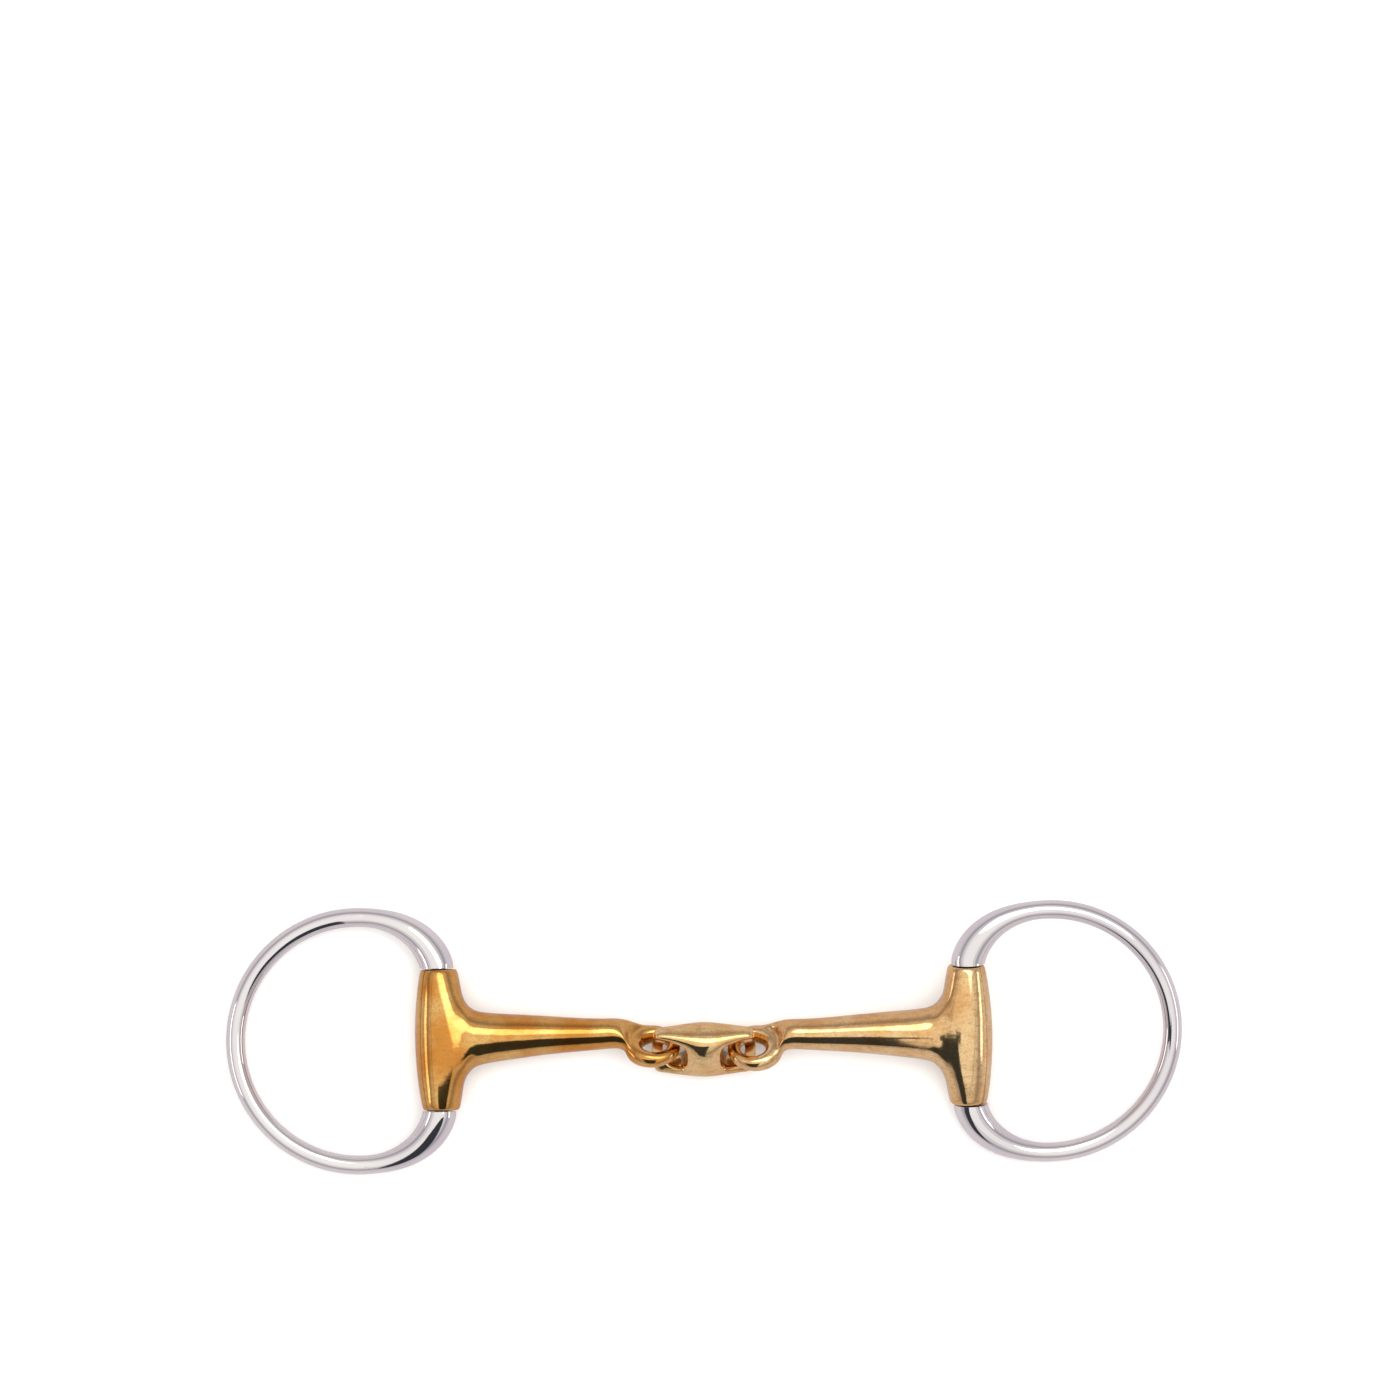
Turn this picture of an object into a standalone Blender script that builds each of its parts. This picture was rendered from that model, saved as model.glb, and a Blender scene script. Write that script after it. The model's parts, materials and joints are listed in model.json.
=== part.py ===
"""Double-jointed eggbutt snaffle bit with a 135 mm mouth, lying flat. Metres, +Z up.

X runs along the mouthpiece and Y along the two cheek barrels. The arms and rings are modelled in a side
frame: its origin is the middle of the barrel, +X points to the middle of the bit and +Y along the barrel.
The left side takes that frame as it is, and the right side is its mirror image.
"""

import math

import bmesh
import bpy
from mathutils import Matrix, Vector

# Where the pieces meet, in the world frame
EYE_X = 0.0140            # centre of an arm's eye from the middle of the bit
EYE_Y = {"left": -0.0026, "right": -0.0034}  # the left eye hangs a little off the link's middle
EYE_Z = 0.0076
PIVOT_X = 0.0113          # where an eye and the link bear on each other, the arm's folding axis
PIVOT_Z = 0.0080
LINK_Y = -0.0034          # the mouthpiece bows towards -Y
LINK_Z = 0.0076           # the link lies on the floor
RING_TILT = {"left": math.radians(4.6), "right": math.radians(3.0)}
ARM_ROLL = {"left": 0.0, "right": math.radians(10.0)}  # the play between eye and link lets an arm roll
ARM_YAW = {"left": math.radians(0.6), "right": math.radians(0.8)}  # and swivel

# Barrel: the bored "egg" that the ring swings in
BARREL_HALF = 0.0196
BARREL_END_RADIUS = 0.0051
BARREL_BULGE = 0.0019
BARREL_EDGE = 0.0012
PATCH_HALF = 0.0112       # half of the length of barrel that the shank grows out of
BARREL_STATIONS = (0.0, 0.5, 1.0, 1.32, 1.56)     # where its rings stand, in lengths of PATCH_HALF
BARREL_EASE = ((-0.3, 0.0), (0.0, -0.5), (0.0, -1.6))  # steps over its rounded edge, in lengths of BARREL_EDGE
SHOULDER = 0.22           # how far the barrel's side swells out to meet the top of the shank
SHOULDER_REACH = 1.5      # and how far along it, in lengths of PATCH_HALF

# Shank: half width along Y and half thickness along Z at each distance from the barrel's axis
SHANK = (
    (0.0086, 0.0001, 0.0083, 0.0062),
    (0.0110, 0.0002, 0.0073, 0.0062),
    (0.0153, 0.0003, 0.0067, 0.0062),
    (0.0220, 0.0005, 0.0061, 0.0059),
    (0.0300, 0.0007, 0.0053, 0.0053),
    (0.0390, 0.0006, 0.0046, 0.0047),
    (0.0460, 0.0007, 0.0042, 0.0044),
    (0.0510, 0.0010, 0.0041, 0.0043),
)

# Eye: a ring whose hole leans 45 degrees towards +Y
EYE_S = 0.0592            # eye centre from the barrel's axis
EYE_DROP = -0.0032        # and along the barrel from its middle
EYE_RING = (0.0058, 0.0050)    # half length and half width of the ring's centre line
EYE_BAR = (0.0026, 0.0018)     # half thickness in the plane of the ring, at the root and at the tip
EYE_DEPTH = (0.0029, 0.0020)   # half thickness along the hole, at the root and at the tip
EYE_LEAN = math.radians(22.5)  # the root sits this far round the ring towards +Y

# Cheek ring
RING_BEND_U = 0.0228      # where the elbow runs into the round part
RING_RADIUS = 0.0344
WIRE_RADIUS = 0.0026
ELBOW_END_RADIUS = 0.00465
ELBOW_TAPER = 0.027
ELBOW_STEPS = 10
ROUND_STEPS = 28
RING_COLLAR = 0.0008      # the ring's end stands square to the barrel for this far
ELBOW_START = Vector((0.0006, 0.0199))
ELBOW_HANDLES = (Vector((0.0022, 0.0271)), Vector((0.0092, 0.0344)))

# Hidden hinge pin
PIN_RADIUS = 0.0019
BORE_RADIUS = 0.0022
PIN_IN_RING = 0.0026
BORE_IN_RING = 0.0032
CUTTER_EXTRA = 0.003

# Centre link: its cage stands on lines along X and across it, and its half thickness follows both
LINK_X = (-0.0145, -0.01145, -0.0052, 0.0, 0.0052, 0.01145, 0.0145)
LINK_ACROSS = (-0.00835, -0.0048, 0.0, 0.0048, 0.00835)
LINK_HALF_THICKNESS = 0.0069
LINK_END_THICKNESS = (0.0026, 0.0009)   # half thickness of the end: at its two corners, and of the bar between
LINK_FADE = (1.7, 2.6)    # how fast the thickness falls towards them
LINK_RIM = 0.45           # and towards the long edges
LINK_ROUNDING = 0.06      # how far the corners are drawn in
LINK_WAIST = 0.9          # the long edges' outer rows stand in this much
LINK_HOLE_COLUMNS = (1, 4)

HOLE_AXIS = Vector((0.0, 1.0, 1.0)).normalized()    # axis of an arm's eye
CROSS_AXIS = Vector((0.0, -1.0, 1.0)).normalized()  # axis of the link's holes
COLUMNS = 16
BAR_COLUMNS = 12


def clear_scene():
    for old in list(bpy.data.objects):
        bpy.data.objects.remove(old)


def new_collection(name):
    collection = bpy.data.collections.new(name)
    bpy.context.scene.collection.children.link(collection)
    return collection


def metal(name, colour, roughness):
    material = bpy.data.materials.new(name)
    material.use_nodes = True
    shader = material.node_tree.nodes["Principled BSDF"]
    shader.inputs["Base Color"].default_value = (*colour, 1.0)
    shader.inputs["Roughness"].default_value = roughness
    shader.inputs["Metallic"].default_value = 1.0
    return material


def add_object(name, mesh, collection, material):
    piece = bpy.data.objects.new(name, mesh)
    collection.objects.link(piece)
    piece.data.materials.clear()
    piece.data.materials.append(material)
    return piece


def swell(columns):
    """How much larger a control ring is than the round surface that Subdivision makes of it."""
    return 6.0 / (4.0 + 2.0 * math.cos(math.tau / columns))


def square_step(i):
    return max(-2, min(2, abs(i % 16 - 8) - 4))


def square_loop(grid, middle_row, rows, columns):
    """The 16 vertices round a patch of 4 by 4 faces, whose middle is at column 0 of middle_row."""
    loop = []
    for i in range(16):
        row = (middle_row + square_step(i)) % rows
        column = square_step(i - 4) % columns
        loop.append(grid[row][column])
    return loop


def bridge(bm, first, second):
    count = len(first)
    for i in range(count):
        j = (i + 1) % count
        bm.faces.new((first[i], first[j], second[j], second[i]))


def grid_faces(bm, grid, columns, closed, is_patch):
    rows = len(grid)
    for row in range(rows if closed else rows - 1):
        for column in range(columns):
            if is_patch(row, column):
                continue
            after = (row + 1) % rows
            beside = (column + 1) % columns
            bm.faces.new((grid[row][column], grid[row][beside], grid[after][beside], grid[after][column]))


def barrel_rows():
    """Distance along the barrel and radius of each control ring, from one end to the other."""
    half = []
    for part in BARREL_STATIONS:
        v = part * PATCH_HALF
        bulge = BARREL_BULGE * (1.0 - (v / BARREL_HALF) ** 2)
        half.append((v, (BARREL_END_RADIUS + bulge) * swell(COLUMNS)))
    end = BARREL_END_RADIUS * swell(COLUMNS)
    for along, inward in BARREL_EASE:
        half.append((BARREL_HALF + along * BARREL_EDGE, end + inward * BARREL_EDGE))
    rows = [(-v, radius) for v, radius in reversed(half[1:])]
    return rows + half


def arm_cage():
    """Control mesh of barrel, shank and eye in one skin, in the side frame."""
    bm = bmesh.new()
    rows = barrel_rows()
    barrel = []
    for v, radius in rows:
        ring = []
        near_shank = max(0.0, 1.0 - (v / (SHOULDER_REACH * PATCH_HALF)) ** 2)
        for column in range(COLUMNS):
            angle = math.tau * column / COLUMNS
            corner = math.sin(2.0 * angle) ** 2 if math.cos(angle) > 0.0 else 0.0
            reach = radius * (1.0 + SHOULDER * near_shank * corner)
            ring.append(bm.verts.new((reach * math.cos(angle), v, reach * math.sin(angle))))
        barrel.append(ring)
    middle = len(rows) // 2

    def on_barrel_patch(row, column):
        return middle - 2 <= row < middle + 2 and (column < 2 or column >= COLUMNS - 2)

    grid_faces(bm, barrel, COLUMNS, False, on_barrel_patch)
    bm.faces.new(barrel[0])
    bm.faces.new(barrel[-1])

    centre = Vector((EYE_S, EYE_DROP, 0.0))
    eye = []
    for segment in range(COLUMNS):
        turn = math.tau * segment / COLUMNS
        root = 0.5 + 0.5 * math.cos(turn)
        bar = EYE_BAR[1] + (EYE_BAR[0] - EYE_BAR[1]) * root
        deep = EYE_DEPTH[1] + (EYE_DEPTH[0] - EYE_DEPTH[1]) * root
        along, across = -math.cos(turn - EYE_LEAN), math.sin(turn - EYE_LEAN)
        outward = Vector((along, 0.0, 0.0)) + across * CROSS_AXIS
        middle_line = centre + Vector((along * EYE_RING[0], 0.0, 0.0)) + across * EYE_RING[1] * CROSS_AXIS
        ring = []
        for column in range(BAR_COLUMNS):
            angle = math.tau * column / BAR_COLUMNS
            reach = bar * swell(BAR_COLUMNS) * math.cos(angle)
            depth = deep * swell(BAR_COLUMNS) * math.sin(angle)
            ring.append(bm.verts.new(middle_line + reach * outward + depth * HOLE_AXIS))
        eye.append(ring)

    def on_eye_patch(row, column):
        near_root = row < 2 or row >= COLUMNS - 2
        return near_root and (column < 2 or column >= BAR_COLUMNS - 2)

    grid_faces(bm, eye, BAR_COLUMNS, True, on_eye_patch)

    loops = [square_loop(barrel, middle, len(rows), COLUMNS)]
    for s, y, half_width, half_thickness in SHANK:
        ring = []
        for i in range(16):
            angle = math.tau * i / 16
            across = half_width * swell(16) * math.cos(angle)
            up = half_thickness * swell(16) * math.sin(angle)
            ring.append(bm.verts.new((s, y + across, up)))
        loops.append(ring)
    for first, second in zip(loops, loops[1:]):
        bridge(bm, first, second)
    # The eye's patch runs along its hole axis and round its ring, an eighth of a turn on from the shank's
    patch = []
    for i in range(16):
        along_hole = square_step(i - 2)
        round_ring = square_step(i - 6)
        patch.append(eye[round_ring % COLUMNS][along_hole % BAR_COLUMNS])
    bridge(bm, loops[-1], patch)
    bmesh.ops.recalc_face_normals(bm, faces=bm.faces)
    return bm


def link_cage():
    """Control mesh of the centre link: a grid of cells, less those of the two holes."""
    bm = bmesh.new()
    corners = {}

    def corner(i, j, k):
        key = (i, j, k)
        if key not in corners:
            x = LINK_X[i]
            across = LINK_ACROSS[j]
            out_x = abs(x) / LINK_X[-1]
            out_across = abs(across) / LINK_ACROSS[-1]
            on_edge = j in (0, len(LINK_ACROSS) - 1)
            row = 0 if on_edge else 1
            end = LINK_END_THICKNESS[row]
            fade = max(0.0, 1.0 - out_x ** 2) ** LINK_FADE[row]
            thickness = end + (LINK_HALF_THICKNESS * (1.0 - LINK_RIM * out_across ** 3) - end) * fade
            pull = 1.0 - LINK_ROUNDING * (out_x * out_across) ** 2
            waist = LINK_WAIST if k != 1 and on_edge else 1.0
            place = Vector((x * pull, 0.0, 0.0)) + across * pull * waist * HOLE_AXIS
            corners[key] = bm.verts.new(place + (k - 1) * thickness * CROSS_AXIS)
        return corners[key]

    columns = len(LINK_X) - 1
    rows = len(LINK_ACROSS) - 1

    def solid(i, j, k):
        if not (0 <= i < columns and 0 <= j < rows and 0 <= k < 2):
            return False
        return not (i in LINK_HOLE_COLUMNS and j in (1, 2))

    steps = ((1, 0, 0), (0, 1, 0), (0, 0, 1))
    for i in range(columns):
        for j in range(rows):
            for k in range(2):
                if not solid(i, j, k):
                    continue
                for axis in range(3):
                    for side in (0, 1):
                        step = steps[axis]
                        sign = 2 * side - 1
                        if solid(i + sign * step[0], j + sign * step[1], k + sign * step[2]):
                            continue
                        first = steps[(axis + 1) % 3]
                        second = steps[(axis + 2) % 3]
                        base = [i + side * step[0], j + side * step[1], k + side * step[2]]
                        ring = []
                        for a, b in ((0, 0), (1, 0), (1, 1), (0, 1)):
                            ring.append(corner(*(base[n] + a * first[n] + b * second[n] for n in range(3))))
                        bm.faces.new(ring)
    bmesh.ops.recalc_face_normals(bm, faces=bm.faces)
    return bm


def mesh_from(bm, name):
    mesh = bpy.data.meshes.new(name)
    bm.to_mesh(mesh)
    bm.free()
    for polygon in mesh.polygons:
        polygon.use_smooth = True
    return mesh


def subdivide(piece, levels):
    modifier = piece.modifiers.new("smooth", "SUBSURF")
    modifier.levels = levels
    modifier.render_levels = levels


def bore_out(piece, cutter):
    modifier = piece.modifiers.new("bore", "BOOLEAN")
    modifier.operation = "DIFFERENCE"
    modifier.object = cutter


def add_cutter(name, start, end, matrix):
    """A round cutter of the pin bore's size along the side frame's Y, from start to end."""
    bpy.ops.mesh.primitive_cylinder_add(vertices=24, radius=BORE_RADIUS, depth=end - start)
    cutter = bpy.context.object
    cutter.name = name
    cutter.data.transform(Matrix.Rotation(math.radians(90.0), 4, "X"))
    cutter.data.transform(Matrix.Translation((0.0, (start + end) / 2.0, 0.0)))
    cutter.matrix_world = matrix
    for owner in cutter.users_collection:
        owner.objects.unlink(cutter)
    cutters.objects.link(cutter)
    cutter.hide_render = True
    cutter.display_type = "WIRE"
    return cutter


def ring_path():
    """Centre line of the cheek ring from its upper end to its lower one, outward and along the barrel."""
    start, end = ELBOW_START + Vector((0.0, RING_COLLAR)), Vector((RING_BEND_U, RING_RADIUS))
    upper = [ELBOW_START]
    for step in range(ELBOW_STEPS):
        t = step / ELBOW_STEPS
        near, far = ELBOW_HANDLES
        point = (1 - t) ** 3 * start + 3 * (1 - t) ** 2 * t * near + 3 * (1 - t) * t ** 2 * far + t ** 3 * end
        upper.append(point)
    middle = []
    for step in range(ROUND_STEPS + 1):
        turn = math.pi * step / ROUND_STEPS
        middle.append(Vector((RING_BEND_U + RING_RADIUS * math.sin(turn), RING_RADIUS * math.cos(turn))))
    lower = [Vector((point.x, -point.y)) for point in reversed(upper)]
    return upper + middle + lower


def ring_mesh(name):
    """The ring as wire of changing thickness, in the side frame."""
    path = ring_path()
    curve = bpy.data.curves.new(name, "CURVE")
    curve.dimensions = "3D"
    curve.bevel_depth = WIRE_RADIUS
    curve.bevel_resolution = 3
    curve.use_fill_caps = True
    spline = curve.splines.new("POLY")
    spline.points.add(len(path) - 1)
    lengths = [0.0]
    for here, after in zip(path, path[1:]):
        lengths.append(lengths[-1] + (after - here).length)
    for index, (u, v) in enumerate(path):
        nearest_end = min(lengths[index], lengths[-1] - lengths[index])
        t = min(1.0, nearest_end / ELBOW_TAPER)
        radius = WIRE_RADIUS + (ELBOW_END_RADIUS - WIRE_RADIUS) * (1.0 - t * t * (3.0 - 2.0 * t))
        spline.points[index].co = (-u, v, 0.0, 1.0)
        spline.points[index].radius = radius / WIRE_RADIUS
    holder = bpy.data.objects.new(name, curve)
    bpy.context.scene.collection.objects.link(holder)
    evaluated = holder.evaluated_get(bpy.context.evaluated_depsgraph_get())
    mesh = bpy.data.meshes.new_from_object(evaluated)
    bpy.data.objects.remove(holder)
    bm = bmesh.new()
    bm.from_mesh(mesh)
    bmesh.ops.remove_doubles(bm, verts=bm.verts, dist=1e-5)
    bmesh.ops.recalc_face_normals(bm, faces=bm.faces)
    bm.to_mesh(mesh)
    bm.free()
    return mesh


def mirror_mesh(mesh):
    mesh.transform(Matrix.Scale(-1.0, 4, Vector((1.0, 0.0, 0.0))))
    mesh.flip_normals()


def place_side(side):
    """The barrel's height, and the matrices of the arm and ring in the world."""
    roll = ARM_ROLL[side]
    slope = math.sin(RING_TILT[side]) * math.cos(roll)
    drop = RING_BEND_U * slope + RING_RADIUS * math.hypot(math.sin(roll), slope)
    height = WIRE_RADIUS + drop
    turn = Matrix.Rotation(ARM_YAW[side], 4, "Z") @ Matrix.Rotation(roll, 4, "X")
    # The arm is pitched about Y until its eye stands at the link's height
    rise = (EYE_Z - height - EYE_DROP * math.sin(roll)) / math.cos(roll)
    pitch = -math.asin(rise / EYE_S)
    sign = 1.0 if side == "left" else -1.0
    arm_turn = turn @ Matrix.Rotation(sign * pitch, 4, "Y")
    ring_turn = turn @ Matrix.Rotation(sign * -RING_TILT[side], 4, "Y")
    eye = arm_turn @ Vector((sign * EYE_S, EYE_DROP, 0.0))
    barrel = Vector((-sign * EYE_X, EYE_Y[side], EYE_Z)) - eye
    return barrel, arm_turn, ring_turn


def add_empty(name, place):
    empty = bpy.data.objects.new(name, None)
    parts.objects.link(empty)
    empty.empty_display_size = 0.01
    empty.location = place
    return empty


def hang_on(piece, parent, parent_matrix):
    """Parent a piece without moving it."""
    piece.parent = parent
    piece.matrix_parent_inverse = parent_matrix.inverted()


def add_pin(name, matrix):
    half = ELBOW_START.y + PIN_IN_RING
    bpy.ops.mesh.primitive_cylinder_add(vertices=24, radius=PIN_RADIUS, depth=2.0 * half)
    pin = bpy.context.object
    pin.name = name
    pin.data.name = name
    pin.data.transform(Matrix.Rotation(math.radians(90.0), 4, "X"))
    pin.data.materials.append(pin_steel)
    pin.matrix_world = matrix
    for owner in pin.users_collection:
        owner.objects.unlink(pin)
    parts.objects.link(pin)
    return pin


def add_side(side):
    """One half of the bit: arm, cheek ring and the pin that joins them."""
    barrel, arm_turn, ring_turn = place_side(side)
    arm_matrix = Matrix.Translation(barrel) @ arm_turn
    ring_matrix = Matrix.Translation(barrel) @ ring_turn
    arm_mesh = mesh_from(arm_cage(), side + "_arm")
    cheek_mesh = ring_mesh(side + "_ring")
    if side == "right":
        mirror_mesh(arm_mesh)
        mirror_mesh(cheek_mesh)

    arm = add_object(side + "_arm", arm_mesh, parts, gold)
    subdivide(arm, 1)
    through = BARREL_HALF + CUTTER_EXTRA
    bore_out(arm, add_cutter(side + "_barrel_bore", -through, through, arm_matrix))

    ring = add_object(side + "_ring", cheek_mesh, parts, steel)
    mouth = ELBOW_START.y - CUTTER_EXTRA
    bottom = ELBOW_START.y + BORE_IN_RING
    bore_out(ring, add_cutter(side + "_upper_ring_bore", mouth, bottom, ring_matrix))
    bore_out(ring, add_cutter(side + "_lower_ring_bore", -bottom, -mouth, ring_matrix))
    pin = add_pin(side + "_hinge_pin", ring_matrix)

    pivot_x = -PIVOT_X if side == "left" else PIVOT_X
    fold = add_empty(side + "_fold", (pivot_x, LINK_Y, PIVOT_Z))
    hang_on(arm, fold, Matrix.Translation(fold.location))
    hang_on(ring, arm, arm_matrix)
    hang_on(pin, ring, ring_matrix)
    arm.matrix_basis = arm_matrix
    ring.matrix_basis = ring_matrix
    pin.matrix_basis = ring_matrix


clear_scene()
parts = new_collection("snaffle_bit")
cutters = new_collection("cutters")
gold = metal("copper_alloy", (0.78, 0.55, 0.22), 0.22)
steel = metal("polished_steel", (0.75, 0.74, 0.75), 0.08)
pin_steel = metal("pin_steel", (0.55, 0.55, 0.56), 0.3)

link = add_object("centre_link", mesh_from(link_cage(), "centre_link"), parts, gold)
link.location = (0.0, LINK_Y, LINK_Z)
subdivide(link, 2)
add_side("left")
add_side("right")
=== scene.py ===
"""Finish for a double-jointed eggbutt snaffle bit lying flat: steel rings on a copper-alloy mouth."""

import json
import math

import bmesh
import bpy
from mathutils import Matrix, Vector


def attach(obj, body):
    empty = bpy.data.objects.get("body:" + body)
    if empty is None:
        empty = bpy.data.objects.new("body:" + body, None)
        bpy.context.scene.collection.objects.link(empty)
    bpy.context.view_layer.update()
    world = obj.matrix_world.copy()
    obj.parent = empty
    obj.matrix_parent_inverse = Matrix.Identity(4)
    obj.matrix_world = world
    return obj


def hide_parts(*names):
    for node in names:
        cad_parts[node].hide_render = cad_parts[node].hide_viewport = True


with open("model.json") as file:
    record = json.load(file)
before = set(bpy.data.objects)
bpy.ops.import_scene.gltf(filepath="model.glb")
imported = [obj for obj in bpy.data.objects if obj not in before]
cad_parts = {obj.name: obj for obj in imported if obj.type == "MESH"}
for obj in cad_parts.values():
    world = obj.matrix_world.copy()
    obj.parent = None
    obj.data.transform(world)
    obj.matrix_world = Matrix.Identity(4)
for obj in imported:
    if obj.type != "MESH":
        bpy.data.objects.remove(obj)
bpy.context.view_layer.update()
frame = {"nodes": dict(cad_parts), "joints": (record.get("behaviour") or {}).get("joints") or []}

scene = bpy.context.scene


# --------------------------------------------------------------------------------------------------
# The table and the light. The bit lies on a white sweep under a pale tent of light. Two dark screens
# stand before and over it, and polished metal mirrors them as dark stripes. None of this is the bit's.
# --------------------------------------------------------------------------------------------------
SWEEP_RADIUS = 3.0
SWEEP_DROP = 0.0003
CARD_WHITE = (0.93, 0.93, 0.925, 1.0)
CARD_IN_METAL = (0.50, 0.475, 0.50, 1.0)
SCREEN_GREY = (0.040, 0.046, 0.052, 1.0)
TENT_FLOOR = (0.74, 0.71, 0.73, 1.0)
TENT_SKIRT = (0.36, 0.34, 0.36, 1.0)
TENT_CROWN = (1.0, 0.985, 0.94, 1.0)
TENT_SEAM = ((0.735, 0.84), (0.755, 0.30), (0.775, 0.90))    # how high up the tent, and how light there
TENT_STRENGTH = 1.1
TENT_FILL = 1.0                 # what matt surfaces get on top of that
VIEW_WIDTH = 0.3898
CAMERA_HEIGHT = 2.8
CAMERA_ROLL = math.radians(-0.58)
BIT_IN_VIEW = Vector((0.00104, -0.0936))
SENSOR = 36.0


def card_material():
    """Matt white card, which polished metal mirrors darker than it is."""
    material = bpy.data.materials.new("white_card")
    material.use_nodes = True
    nodes, links = material.node_tree.nodes, material.node_tree.links
    shader = nodes["Principled BSDF"]
    shader.inputs["Roughness"].default_value = 0.6
    ray, tone = nodes.new("ShaderNodeLightPath"), nodes.new("ShaderNodeMix")
    tone.data_type = "RGBA"
    tone.inputs["A"].default_value = CARD_WHITE
    tone.inputs["B"].default_value = CARD_IN_METAL
    links.new(ray.outputs["Is Glossy Ray"], tone.inputs["Factor"])
    links.new(tone.outputs["Result"], shader.inputs["Base Color"])
    return material


def add_mesh_object(name, bm):
    mesh = bpy.data.meshes.new(name)
    bm.to_mesh(mesh)
    bm.free()
    piece = bpy.data.objects.new(name, mesh)
    scene.collection.objects.link(piece)
    return piece


sweep = bmesh.new()
bmesh.ops.create_circle(sweep, cap_ends=True, segments=96, radius=SWEEP_RADIUS)
table = add_mesh_object("white_sweep", sweep)
table.location.z = -SWEEP_DROP
table.data.materials.append(card_material())


def dark_screen(name, centre, width, height):
    """A level dark card seen only in reflections, as a studio flag is."""
    bm = bmesh.new()
    bmesh.ops.create_grid(bm, x_segments=1, y_segments=1, size=0.5)
    bmesh.ops.scale(bm, vec=(width, height, 1.0), verts=bm.verts)
    screen = add_mesh_object(name, bm)
    screen.location = centre
    material = bpy.data.materials.new(name)
    material.use_nodes = True
    nodes = material.node_tree.nodes
    nodes.remove(nodes["Principled BSDF"])
    glow = nodes.new("ShaderNodeEmission")
    glow.inputs["Color"].default_value = SCREEN_GREY
    material.node_tree.links.new(glow.outputs["Emission"], nodes["Material Output"].inputs["Surface"])
    screen.data.materials.append(material)
    screen.visible_camera = False
    screen.visible_diffuse = False
    screen.visible_shadow = False


dark_screen("front_screen", (-0.045, -0.240, 0.170), 0.155, 0.36)
dark_screen("camera_hood", (0.0, -0.115, 0.300), 0.10, 0.035)


def light_tent():
    """Light from all round by height, with a thin seam. The camera itself sees plain white card."""
    tent = bpy.data.worlds.new("light_tent")
    tent.use_nodes = True
    nodes, links = tent.node_tree.nodes, tent.node_tree.links
    nodes.clear()
    direction, split = nodes.new("ShaderNodeTexCoord"), nodes.new("ShaderNodeSeparateXYZ")
    shades = nodes.new("ShaderNodeValToRGB")
    elements = shades.color_ramp.elements
    elements[0].color = TENT_FLOOR
    elements[1].color = TENT_CROWN
    elements.new(0.50).color = TENT_SKIRT
    for height, grey in TENT_SEAM:
        elements.new(height).color = (grey, 0.98 * grey, 0.96 * grey, 1.0)
    glow = nodes.new("ShaderNodeBackground")
    fill = nodes.new("ShaderNodeMath")
    fill.operation = "MULTIPLY_ADD"
    fill.inputs[1].default_value = TENT_FILL
    fill.inputs[2].default_value = TENT_STRENGTH
    backdrop = nodes.new("ShaderNodeBackground")
    backdrop.inputs["Color"].default_value = CARD_WHITE
    ray, choose = nodes.new("ShaderNodeLightPath"), nodes.new("ShaderNodeMixShader")
    result = nodes.new("ShaderNodeOutputWorld")
    links.new(direction.outputs["Generated"], split.inputs["Vector"])
    links.new(split.outputs["Z"], shades.inputs["Fac"])
    links.new(shades.outputs["Color"], glow.inputs["Color"])
    links.new(ray.outputs["Is Diffuse Ray"], fill.inputs[0])
    links.new(fill.outputs["Value"], glow.inputs["Strength"])
    links.new(ray.outputs["Is Camera Ray"], choose.inputs["Fac"])
    links.new(glow.outputs["Background"], choose.inputs[1])
    links.new(backdrop.outputs["Background"], choose.inputs[2])
    links.new(choose.outputs["Shader"], result.inputs["Surface"])
    return tent


scene.world = light_tent()


def soft_box(name, place, size, power):
    """A lit panel that faces the bit."""
    light = bpy.data.lights.new(name, "AREA")
    light.shape = "RECTANGLE"
    light.size, light.size_y = size
    light.energy = power
    light.color = (1.0, 0.98, 0.94)
    lamp = bpy.data.objects.new(name, light)
    scene.collection.objects.link(lamp)
    lamp.location = place
    lamp.rotation_euler = (-Vector(place)).to_track_quat("-Z", "Y").to_euler()


soft_box("overhead_box", (0.20, 0.30, 0.95), (0.95, 0.40), 2.2)
soft_box("left_box", (-0.55, -0.04, 0.19), (0.30, 0.10), 0.16)
soft_box("right_box", (0.55, -0.04, 0.19), (0.30, 0.10), 0.16)

camera_data = bpy.data.cameras.new("camera")
camera_data.sensor_width = SENSOR
camera_data.lens = SENSOR * CAMERA_HEIGHT / VIEW_WIDTH
camera_data.clip_end = 20.0
camera = bpy.data.objects.new("camera", camera_data)
scene.collection.objects.link(camera)
offset = Matrix.Rotation(CAMERA_ROLL, 2) @ BIT_IN_VIEW
camera.location = (-offset.x, -offset.y, CAMERA_HEIGHT)
camera.rotation_euler = (0.0, 0.0, CAMERA_ROLL)
scene.camera = camera
scene.view_settings.view_transform = "Standard"


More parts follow.
